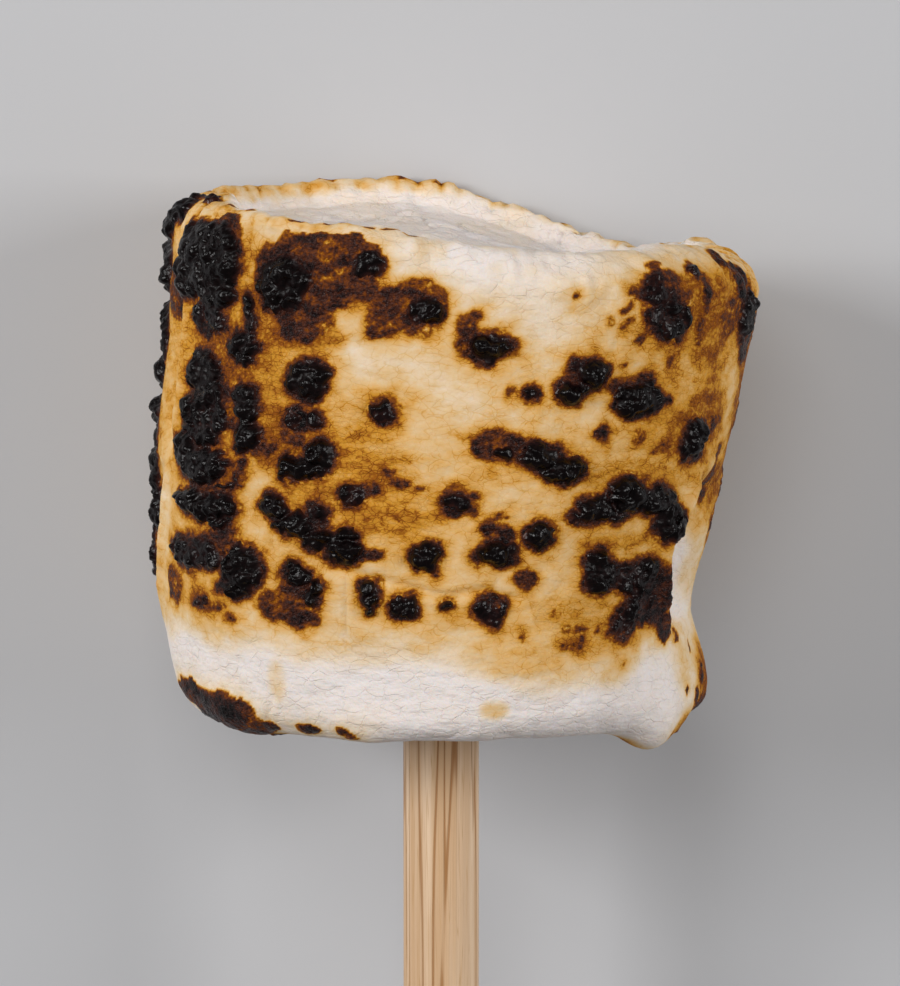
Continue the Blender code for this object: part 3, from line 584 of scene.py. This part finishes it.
class Burn:
    """How burnt the skin is: depth into the burns and how far a crust is under way."""

    def __init__(self, points, degrees, climb):
        wobble = np.stack([soft_noise(points, 1.1, 31), soft_noise(points, 1.1, 37)]) * 0.20
        wobble += np.stack([soft_noise(points, 0.6, 41), soft_noise(points, 0.6, 43)]) * 0.17
        wobble += np.stack([soft_noise(points, 0.3, 47), soft_noise(points, 0.3, 49)]) * 0.07
        degrees = degrees + np.degrees(wobble[0] / NOMINAL_RADIUS)
        climb = climb + wobble[1]
        self.depth = np.full(len(climb), -BURN_REACH)
        self.crust = np.full(len(climb), -BURN_REACH)
        for lobe, burnt in all_burns():
            near, gap = near_lobe(degrees, climb, lobe, BURN_REACH)
            depth = np.where(gap < 0, np.minimum(-gap, burnt), -gap - 0.12 * (burnt < BROWN))
            self.depth[near] = np.maximum(self.depth[near], depth)
            if burnt >= UMBER:
                crust = np.where(gap < 0, np.minimum(-gap, burnt), -gap)
                self.crust[near] = np.maximum(self.crust[near], crust)
        open_skin = 1 - fold_shelter(degrees, climb)
        self.depth = (self.depth + BURN_REACH) * open_skin - BURN_REACH
        self.crust = (self.crust + BURN_REACH) * open_skin - BURN_REACH


# ------------------------------------------------------------ relief, colour
def crease_depth(degrees, height):
    """Listed cracks and creases of the front skin."""
    total = np.zeros(len(height))
    spot = np.stack([np.radians(turn_between(degrees, 0)) * NOMINAL_RADIUS, height], axis=1)
    for seen, depth, half_width in CREASES:
        stops = [seen_on_skin(*stop)[:2] for stop in seen]
        stops = [np.array([math.radians(turn) * NOMINAL_RADIUS, level]) for turn, level in stops]
        nearest = np.full(len(height), 99.0)
        for a, b in zip(stops, stops[1:]):
            share = np.clip((spot - a) @ (b - a) / ((b - a) @ (b - a)), 0, 1)
            nearest = np.minimum(nearest, np.linalg.norm(spot - a - share[:, None] * (b - a), axis=1))
        total = np.maximum(total, depth * np.exp(-(nearest / half_width) ** 2))
    return total


def bulge_push(degrees, climb):
    """How far the swollen lumps push the skin out."""
    push = np.zeros_like(climb)
    for middle, level, radius, amount in BULGES:
        sideways = np.radians(turn_between(degrees, middle)) * NOMINAL_RADIUS
        push += amount * np.exp(-(np.hypot(sideways, climb - level) / radius * 1.5) ** 2)
    return push


def rim_teeth(degrees):
    """Height of the teeth along the rim, from 0 in the cuts to 1, and each tooth's own chance."""
    chance = np.random.RandomState(TOOTH_SEED)
    cuts, picks = [-180.0], []
    while cuts[-1] < 180:
        width = float(smooth_around(TOOTH_WIDTHS, np.array(cuts[-1]))) * chance.uniform(0.6, 1.5)
        cuts.append(cuts[-1] + math.degrees(width / NOMINAL_RADIUS))
        picks.append(chance.uniform())
    place = turn_between(degrees, 0)
    tooth = np.clip(np.searchsorted(cuts, place, side="right") - 1, 0, len(picks) - 1)
    start, stop = np.array(cuts)[tooth], np.array(cuts)[tooth + 1]
    share = np.abs(2 * (place - start) / (stop - start) - 1)
    return 1 - share ** 5, np.array(picks)[tooth]


def skin_lift(drum, points):
    """How far the skin stands out from the smooth drum."""
    lift = layered_noise(points, 4.0, 91, 2) * 0.14 + layered_noise(points, 1.2, 95, 2) * 0.03
    flat = points * (1, 1, 2.2)
    lift -= ridges(flat, 1.9, 101) * 0.05 + ridges(flat, 1.1, 103) * 0.03
    climb, past_rim = drum.climb, drum.past_rim
    lift -= crease_depth(drum.degrees, climb) * ease((climb + 1) / 1) * ease((1 - past_rim) / 1)
    lift += bulge_push(drum.degrees, climb)
    crest = ease((past_rim + 0.5) / 0.8) * ease((drum.fall * 0.6 - drum.inward) / 0.8 + 1)
    lift += crest * (layered_noise(points, 1.4, 97, 2) * 0.15 + soft_noise(points, 0.45, 99) * 0.05)
    tooth, pick = rim_teeth(drum.degrees + layered_noise(points, 1.5, 113, 2))
    strength = smooth_around(TOOTH_STRENGTH, drum.degrees)
    lift += crest * strength * (0.34 * (tooth - 1) + 0.16 * (pick - 0.5))
    wall = ease(drum.inward / 0.4) * ease((drum.fall - drum.inward) / 0.4)
    lift += wall * blisters(points, 1.4, 105) * 0.16
    floor = ease((drum.inward - drum.fall) / 0.8)
    wrinkled = points * (0.55, 1.5, 1)
    lift -= floor * (ridges(wrinkled, 2.2, 107) * 0.26 + ridges(wrinkled, 1.0, 109) * 0.20)
    lift += floor * soft_noise(wrinkled, 1.0, 117) * 0.10
    stick_gap = np.hypot(points[:, 0], points[:, 1]) - STICK_RADIUS
    under = ease((1.5 - points[:, 2]) / 1.0)
    lift += under * 0.35 * np.exp(-((stick_gap - 0.55) / 0.5) ** 2)
    return lift


def crust_rise(points, crust):
    """Height of the burnt crust over the skin, its blisters from 0 to 1 and its own depth."""
    large = blisters(points, 1.1, 71, burst=0.12)
    medium = blisters(points, 0.6, 73, burst=0.08)
    small = blisters(points, 0.3, 75)
    blistered = 0.38 * large + 0.20 * medium + 0.05 * small
    reach = crust + 0.16 * large + 0.10 * medium + 0.06 * soft_noise(points, 0.3, 79) - 0.18
    plateau = np.sqrt(1 - (1 - np.clip(reach / 0.6, 0, 1)) ** 2)
    rise = -0.14 + plateau * (0.14 + 0.20 * ease(crust / 1.0) + blistered * (0.5 + 0.5 * ease(crust / 0.6)))
    wrinkled = layered_noise(points, 0.5, 81, 2)
    rise += ease(reach / 0.2) * (0.04 * wrinkled - 0.05 * ridges(points, 0.5, 85))
    return rise, blistered / 0.63, reach


def browned(toast, degrees, climb, patches):
    """Draws the toast towards each patch's level, softly over the patch's edge."""
    for lobe, level in patches:
        size = min(lobe[2:])
        near, gap = near_lobe(degrees, climb, lobe, size)
        toast[near] += (level - toast[near]) * ease((0.6 - gap / size) / 1.3)


def toast_field(drum, points, burn):
    """How toasted the skin is, from 0, white, to 1, deep amber."""
    degrees, climb, past_rim = drum.degrees, drum.climb, drum.past_rim
    toast = BODY_TOAST + layered_noise(points, 3.5, 51, 3) * 0.16
    browned(toast, degrees, climb, [(seen_lobe(*patch[:4]), patch[4]) for patch in FRONT_TOAST])
    edge = smooth_around(BAND_EDGE, degrees) + soft_noise(points, 2.2, 57) * 0.6
    band = np.maximum(ease((edge - climb) / 1.9 + 0.5), 0.85 * fold_shelter(degrees, climb))
    toast *= 1 - band * 0.96
    browned(toast, degrees, climb, [(seen_lobe(*patch[:4]), patch[4]) for patch in BAND_TOAST])
    browned(toast, degrees, climb, [(patch[:4], patch[4]) for patch in EDGE_TOAST])
    outside = np.minimum(burn.depth, 0)
    halo = 0.5 * np.exp(outside / 0.75) + 0.5 * np.exp(outside / 0.18)
    toast += (0.98 - toast) * halo * (1 - 0.5 * band)
    rim_toast = smooth_around(RIM_TOAST, degrees) + 0.2 * soft_noise(points, 0.9, 61)
    specks = 0.26 * np.maximum(soft_noise(points, 0.35, 67), 0)
    rim_toast += specks * ease((rim_toast - 0.25) / 0.2)
    tooth, pick = rim_teeth(degrees + layered_noise(points, 1.5, 113, 2))
    rim_toast += (0.6 * (1 - tooth) + 0.25 * (pick - 0.5)) * smooth_around(TOOTH_STRENGTH, degrees)
    on_rim = ease((past_rim + 1.4 - 1.3 * (drum.corner - 0.9)) / 1.8)
    past_crest = past_rim - drum.corner * math.pi / 2 + 0.2 * soft_noise(points, 0.8, 63)
    inside = ease((past_crest - smooth_around(RIM_TAN, degrees)) / 0.5)
    toast += (np.maximum(rim_toast, toast * 0.5) - toast) * on_rim
    toast += (0.08 + 0.06 * soft_noise(points, 2.0, 65) - toast) * inside
    return np.clip(toast, 0, 1)


def doneness(toast, depth):
    """One scale for colour: 0 white, 0.5 where a burn starts and 1 black."""
    return np.clip(np.where(depth > -0.06, 0.47 + 0.8 * (depth + 0.06), toast * 0.47), 0, 1.2)


# ------------------------------------------------------------------- meshes
def world_points(points):
    """Upright millimetres to the lying frame, in metres."""
    x, forward, height = points.T
    return np.stack([x, height - MIDDLE, forward + LIE_HEIGHT], axis=1) * MM


def soft_floor(points):
    """Keeps points above the surface that the drum lies on, pressed smoothly flat there."""
    round_off = 0.12
    above = points[:, 1] + LIE_HEIGHT
    pressed = round_off * np.logaddexp(0, np.minimum(above, 3) / round_off)
    points[:, 1] = np.where(above > 3, above, pressed) - LIE_HEIGHT
    return points


def make_piece(name, points, faces, values):
    """A smooth mesh object from upright points, faces and values at the points."""
    mesh = bpy.data.meshes.new(name)
    mesh.from_pydata(world_points(soft_floor(points)).tolist(), [], faces)
    for key, value in values.items():
        layer = mesh.attributes.new(key, "FLOAT", "POINT")
        layer.data.foreach_set("value", value.astype(np.float32))
    mesh.shade_smooth()
    mesh.validate()
    mesh.update()
    piece = bpy.data.objects.new(name, mesh)
    bpy.context.scene.collection.objects.link(piece)
    return piece


def make_skin():
    """The whole skin: a closed grid of rows around the axis, with a point at each end."""
    degrees, climb = skin_grid()
    drum = Drum(degrees, climb)
    rows, columns = climb.shape
    normal = grid_normals(drum.points).reshape(-1, 3)
    drum = Drum(degrees.ravel(), climb.ravel())
    points = drum.points
    burn = Burn(points, drum.degrees, drum.climb)
    on_side = ease((drum.climb + 2.5) / 1.5) * ease((drum.corner * 1.57 + 0.8 - drum.past_rim) / 0.6)
    burn.depth = burn.depth * on_side - BURN_REACH * (1 - on_side)
    toast = toast_field(drum, points, burn)
    values = doneness(toast, burn.depth)
    grains = ease((burn.depth + 0.05) / 0.2) * (blisters(points, 0.6, 111) + blisters(points, 0.3, 115)) * 0.07
    points = points + normal * (skin_lift(drum, points) + grains)[:, None]

    index = np.arange(rows * columns).reshape(rows, columns)
    right = np.roll(index, -1, axis=1)
    quads = np.stack([index[:-1], right[:-1], right[1:], index[1:]], axis=-1).reshape(-1, 4)
    first, last = rows * columns, rows * columns + 1
    low_cap = [(first, int(b), int(a)) for a, b in zip(index[0], right[0])]
    high_cap = [(last, int(a), int(b)) for a, b in zip(index[-1], right[-1])]
    ends = [points[index[0]].mean(axis=0), points[index[-1]].mean(axis=0)]
    end_values = [values[index[0]].mean(), values[index[-1]].mean()]
    return make_piece("marshmallow_skin", np.vstack([points, ends]),
                      quads.tolist() + low_cap + high_cap,
                      {"doneness": np.append(values, end_values)})


def make_crust():
    """The raised, blistered crust of every dark burn, with its edges sunk in the skin."""
    degrees, climb = crust_grid()
    drum = Drum(degrees, climb)
    normal = grid_normals(drum.points).reshape(-1, 3)
    drum = Drum(degrees.ravel(), climb.ravel())
    burn = Burn(drum.points, drum.degrees, drum.climb)
    near = np.flatnonzero(burn.crust > -0.35)
    drum = Drum(drum.degrees[near], drum.climb[near])
    points, normal, depth, crust = drum.points, normal[near], burn.depth[near], burn.crust[near]
    crust = crust - 3 * ease((drum.past_rim - drum.corner * 1.57 - 0.2) / 0.6)
    rise, blistered, reach = crust_rise(points, crust)
    points = points + normal * (skin_lift(drum, points) + rise)[:, None]
    values = 0.56 + 1.15 * np.clip(reach, 0, 0.32) + 0.08 * (blistered - 0.5)

    whole = np.full(climb.size, -1)
    whole[near] = np.arange(len(near))
    index = whole.reshape(climb.shape)
    right = np.roll(index, -1, axis=1)
    quads = np.stack([index[:-1], right[:-1], right[1:], index[1:]], axis=-1).reshape(-1, 4)
    quads = quads[(quads >= 0).all(axis=1)]
    quads = quads[(reach[quads] > -0.12).any(axis=1)]
    used = np.unique(quads)
    renumber = np.zeros(len(points), int)
    renumber[used] = np.arange(len(used))
    return make_piece("burnt_crust", points[used], renumber[quads].tolist(),
                      {"doneness": values[used], "blisters": blistered[used]})


# ---------------------------------------------------------------- materials
def srgb(red, green, blue):
    """A picture colour, 0 to 255, as the linear colour that the shader takes."""
    channels = np.array([red, green, blue]) / 255
    return (*np.where(channels <= 0.04045, channels / 12.92, ((channels + 0.055) / 1.055) ** 2.4), 1.0)


class Nodes:
    """Short calls for building one material's node tree."""

    def __init__(self, name):
        self.material = bpy.data.materials.new(name)
        self.material.use_nodes = True
        self.tree = self.material.node_tree
        self.shader = self.tree.nodes["Principled BSDF"]

    def add(self, kind, inputs=None, **settings):
        node = self.tree.nodes.new(kind)
        for key, value in settings.items():
            setattr(node, key, value)
        for key, value in (inputs or {}).items():
            self.put(node.inputs[key], value)
        return node

    def put(self, socket, value):
        if isinstance(value, bpy.types.NodeSocket):
            self.tree.links.new(value, socket)
        else:
            socket.default_value = value

    def math(self, operation, a, b=0.0, c=0.0, clamp=False):
        node = self.add("ShaderNodeMath", {0: a, 1: b, 2: c}, operation=operation, use_clamp=clamp)
        return node.outputs[0]

    def span(self, value, low, high, to_low=0.0, to_high=1.0):
        """A value's smooth place between low and high, turned into to_low to to_high."""
        node = self.add("ShaderNodeMapRange", {0: value, 1: low, 2: high, 3: to_low, 4: to_high},
                        interpolation_type="SMOOTHSTEP")
        return node.outputs[0]

    def noise(self, vector, scale, detail=3.0, roughness=0.55):
        node = self.add("ShaderNodeTexNoise", {"Vector": vector, "Scale": scale, "Detail": detail,
                                               "Roughness": roughness})
        return node.outputs["Fac"]

    def around_zero(self, value):
        return self.math("SUBTRACT", value, 0.5)

    def ramp(self, value, stops):
        node = self.add("ShaderNodeValToRGB", {0: value})
        steps = node.color_ramp.elements
        while len(steps) < len(stops):
            steps.new(0.5)
        for step, (place, colour) in zip(steps, stops):
            step.position = place
            step.color = colour
        return node.outputs["Color"]

    def mix(self, share, a, b, blend="MIX"):
        node = self.add("ShaderNodeMix", {0: share, 6: a, 7: b}, data_type="RGBA", blend_type=blend)
        return node.outputs[2]

    def attribute(self, name):
        return self.add("ShaderNodeAttribute", attribute_name=name).outputs["Fac"]

    def edges(self, vector, scale):
        """Distance from the borders of random cells."""
        node = self.add("ShaderNodeTexVoronoi", {"Vector": vector, "Scale": scale},
                        feature="DISTANCE_TO_EDGE")
        return node.outputs["Distance"]

    def millimetres(self):
        place = self.add("ShaderNodeTexCoord").outputs["Object"]
        node = self.add("ShaderNodeVectorMath", {0: place, "Scale": 1 / MM}, operation="SCALE")
        return node.outputs[0]

    def warped(self, place, scale, amount):
        """Coordinates pushed about by noise."""
        swirl = self.add("ShaderNodeTexNoise", {"Vector": place, "Scale": scale, "Detail": 2.0})
        push = self.add("ShaderNodeVectorMath", {0: swirl.outputs["Color"], "Scale": amount},
                        operation="SCALE").outputs[0]
        return self.add("ShaderNodeVectorMath", {0: place, 1: push}, operation="ADD").outputs[0]

    def bump(self, height, strength, distance):
        node = self.add("ShaderNodeBump", {"Height": height, "Strength": strength, "Distance": distance})
        self.put(self.shader.inputs["Normal"], node.outputs["Normal"])


DONENESS_STOPS = [
    (0.00, srgb(241, 232, 229)),
    (0.09, srgb(239, 219, 194)),
    (0.19, srgb(231, 198, 150)),
    (0.28, srgb(227, 179, 108)),
    (0.37, srgb(210, 146, 42)),
    (0.45, srgb(152, 85, 5)),
    (0.53, srgb(116, 58, 14)),
    (0.62, srgb(78, 38, 22)),
    (0.72, srgb(50, 24, 18)),
    (0.82, srgb(26, 12, 12)),
    (0.93, srgb(9, 4, 4)),
]


def skin_material():
    """White through gold to granular brown, finely cracked, with painted shade greying the cracks and wrinkle lines.
    """
    n = Nodes("toasted_marshmallow")
    place = n.millimetres()
    done = n.attribute("doneness")
    flat = n.add("ShaderNodeMapping", {"Vector": place, "Scale": (0.8, 1.3, 1.0)}).outputs[0]
    mottle = n.around_zero(n.noise(flat, 1.1, 3.0, 0.5))
    grain = n.around_zero(n.noise(place, 5.0, 2.0, 0.5))
    ripple = n.around_zero(n.noise(n.add("ShaderNodeMapping", {
        "Vector": flat, "Scale": (1.0, 1.5, 1.0)}).outputs[0], 1.3, 2.0, 0.5))
    toasted = n.span(done, 0.02, 0.20)
    burnt = n.span(done, 0.46, 0.56)
    plates = n.edges(n.warped(flat, 1.1, 0.55), 1.5)
    fine = n.span(plates, 0.045, 0.0)
    waves = n.span(n.math("ABSOLUTE", ripple), 0.016, 0.0)
    shown = n.math("MULTIPLY", n.span(mottle, -0.14, 0.14, 0.3, 1.0), n.span(toasted, 0.0, 1.0, 0.3, 1.0))
    # Crack and wrinkle lines: they carry the painted shade below, and a browner tone on toasted skin
    crack_browning_and_shade = n.math("MAXIMUM", n.math("MULTIPLY", fine, shown),
                   n.math("MULTIPLY", waves, n.span(mottle, 0.0, 0.12)))

    rough = n.math("MULTIPLY_ADD", toasted, 0.24, n.math("MULTIPLY_ADD", burnt, 0.55, 0.04))
    shade = n.math("MULTIPLY_ADD", mottle, rough, done)
    shade = n.math("MULTIPLY_ADD", grain, n.span(done, 0.36, 0.56, 0.06, 0.5), shade)
    scales = n.edges(n.warped(flat, 2.4, 0.3), 3.0)
    crazed = n.math("MULTIPLY", n.span(scales, 0.08, 0.0), n.span(done, 0.22, 0.38))
    shade = n.math("MULTIPLY_ADD", crazed, n.span(mottle, -0.1, 0.1, 0.01, 0.055), shade)
    shade = n.math("MULTIPLY_ADD", n.math("MULTIPLY", crack_browning_and_shade, toasted), 0.065, shade)
    skin = n.ramp(shade, DONENESS_STOPS)
    # Painted shade: cracks and wrinkle lines are multiplied towards grey-lilac, as the shade that falls in them
    skin = n.mix(n.math("MULTIPLY", crack_browning_and_shade, 0.14), skin, srgb(206, 196, 196), "MULTIPLY")
    n.put(n.shader.inputs["Base Color"], skin)

    n.put(n.shader.inputs["Roughness"], n.span(shade, 0.5, 0.7, 0.68, 0.30))
    n.shader.inputs["Specular IOR Level"].default_value = 0.14
    n.put(n.shader.inputs["Subsurface Weight"], n.span(done, 0.35, 0.5, 0.3, 0.0))
    n.shader.inputs["Subsurface Radius"].default_value = (1.0, 0.7, 0.5)
    n.shader.inputs["Subsurface Scale"].default_value = 0.35 * MM
    seams = n.math("MULTIPLY", n.span(plates, 0.07, 0.0), n.span(mottle, -0.12, 0.10, 0.15, 1.0))
    seams = n.math("MULTIPLY", seams, n.span(toasted, 0.0, 1.0, -0.024, -0.010))
    skin_height = n.math("MULTIPLY_ADD", mottle, 0.06, seams)
    skin_height = n.math("MULTIPLY_ADD", ripple, n.span(toasted, 0.0, 1.0, 0.10, 0.04), skin_height)
    skin_height = n.math("MULTIPLY_ADD", crazed, -0.02, skin_height)
    height = n.math("MULTIPLY_ADD", grain, n.span(done, 0.34, 0.52, 0.04, 0.2), skin_height)
    n.bump(height, 1.0, 1.0 * MM)
    return n.material


def crust_material():
    """Nearly black: glossy on its blisters, matte between them and brown at its thin edges."""
    n = Nodes("burnt_sugar_crust")
    place = n.millimetres()
    done = n.attribute("doneness")
    mottle = n.around_zero(n.noise(place, 2.2, 3.0, 0.6))
    grain = n.around_zero(n.noise(place, 6.0, 2.0, 0.5))
    shade = n.math("MULTIPLY_ADD", mottle, 0.20, n.math("MULTIPLY_ADD", grain, 0.22, done))
    n.put(n.shader.inputs["Base Color"], n.ramp(shade, DONENESS_STOPS))
    matte = n.math("MULTIPLY_ADD", mottle, -0.5, n.span(n.attribute("blisters"), 0.1, 0.5, 0.38, 0.23))
    n.put(n.shader.inputs["Roughness"], n.math("MAXIMUM", matte, 0.18))
    n.shader.inputs["Specular IOR Level"].default_value = 0.15
    folds = n.add("ShaderNodeTexVoronoi", {"Vector": n.warped(place, 2.0, 0.25), "Scale": 2.9,
                                           "Smoothness": 0.25}, feature="SMOOTH_F1").outputs["Distance"]
    n.bump(n.math("MULTIPLY_ADD", folds, -0.6, n.math("MULTIPLY", grain, 0.16)), 1.0, 0.11 * MM)
    return n.material


def wood_material():
    """Pale split wood: straight fine fibres and a few darker grain lines."""
    n = Nodes("pale_wood_grain")
    place = n.millimetres()
    long_grain = n.add("ShaderNodeMapping", {"Vector": place, "Scale": (1.0, 0.02, 1.0)}).outputs[0]
    bent = n.warped(long_grain, 0.5, 0.5)
    broad = n.noise(bent, 0.9, 2.0, 0.5)
    fibre = n.noise(long_grain, 9.0, 3.0, 0.6)
    lines = n.span(n.math("ABSOLUTE", n.around_zero(n.noise(bent, 1.2, 1.0))), 0.036, 0.008)
    thin = n.span(n.math("ABSOLUTE", n.around_zero(n.noise(bent, 4.5, 1.0))), 0.030, 0.0)
    colour = n.mix(n.span(broad, 0.36, 0.62), srgb(214, 174, 132), srgb(238, 207, 173))
    colour = n.mix(n.span(fibre, 0.5, 0.75, 0.0, 0.4), colour, srgb(200, 156, 110))
    colour = n.mix(n.math("MULTIPLY", thin, 0.4), colour, srgb(186, 134, 70))
    colour = n.mix(n.math("MULTIPLY", lines, n.span(broad, 0.3, 0.6, 0.9, 0.45)), colour, srgb(156, 99, 34))
    n.put(n.shader.inputs["Base Color"], colour)
    n.shader.inputs["Roughness"].default_value = 0.6
    height = n.math("MULTIPLY_ADD", lines, -0.6, n.math("MULTIPLY", fibre, 0.7))
    n.bump(height, 0.6, 0.10 * MM)
    return n.material


# ------------------------------------------------------------ camera, stage
def add_camera():
    """Looks down on the shown side, leaning towards the marshmallow's top."""
    back = Vector((0, math.sin(EYE_TILT), math.cos(EYE_TILT)))
    up = Vector((0, math.cos(EYE_TILT), -math.sin(EYE_TILT)))
    right = up.cross(back)
    middle = Vector((0, 0, LIE_HEIGHT * MM))
    aim = middle + right * VIEW_OFFSET[0] * MM + up * VIEW_OFFSET[1] * MM
    data = bpy.data.cameras.new("camera")
    data.sensor_width = 36.0
    data.lens = data.sensor_width * EYE_DISTANCE / VIEW_HEIGHT
    data.clip_start = 0.01
    data.clip_end = 10.0
    camera = bpy.data.objects.new("camera", data)
    turned = Matrix((right, up, back)).transposed().to_4x4()
    camera.matrix_world = Matrix.Translation(aim + back * EYE_DISTANCE * MM) @ turned
    bpy.context.scene.collection.objects.link(camera)
    bpy.context.scene.camera = camera


def add_light(name, place, size, power):
    data = bpy.data.lights.new(name, "AREA")
    data.shape = "SQUARE"
    data.size = size
    data.energy = power
    light = bpy.data.objects.new(name, data)
    light.location = place
    aim = Vector((0, 0, LIE_HEIGHT * MM)) - light.location
    light.rotation_euler = aim.to_track_quat("-Z", "Y").to_euler()
    bpy.context.scene.collection.objects.link(light)


def add_stage():
    """Plain pale floor, soft lights and a dim even sky."""
    mesh = bpy.data.meshes.new("floor")
    half = 1.5
    mesh.from_pydata([(-half, -half, 0), (half, -half, 0), (half, half, 0), (-half, half, 0)], [],
                     [(0, 1, 2, 3)])
    floor = bpy.data.objects.new("floor", mesh)
    bpy.context.scene.collection.objects.link(floor)
    n = Nodes("pale_floor")
    n.shader.inputs["Base Color"].default_value = srgb(196, 196, 198)
    n.shader.inputs["Roughness"].default_value = 0.7
    mesh.materials.append(n.material)

    add_light("left_softbox", (-0.30, 0.10, 0.26), 0.14, 0.96)
    add_light("right_softbox", (0.32, 0.06, 0.22), 0.14, 0.64)
    add_light("top_softbox", (-0.04, 0.16, 0.36), 0.13, 0.26)
    world = bpy.data.worlds.new("studio")
    world.use_nodes = True
    world.node_tree.nodes["Background"].inputs["Color"].default_value = (0.97, 0.98, 1.0, 1.0)
    world.node_tree.nodes["Background"].inputs["Strength"].default_value = 0.17
    bpy.context.scene.world = world
    bpy.context.scene.view_settings.view_transform = "Standard"


def add_piece(piece, material):
    piece.data.materials.append(material)
    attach(piece, "root")
    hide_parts("marshmallow")


def main():
    add_camera()
    add_stage()
    add_piece(make_skin(), skin_material())
    add_piece(make_crust(), crust_material())
    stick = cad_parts["stick"]
    stick.material_slots[0].material = wood_material()


main()
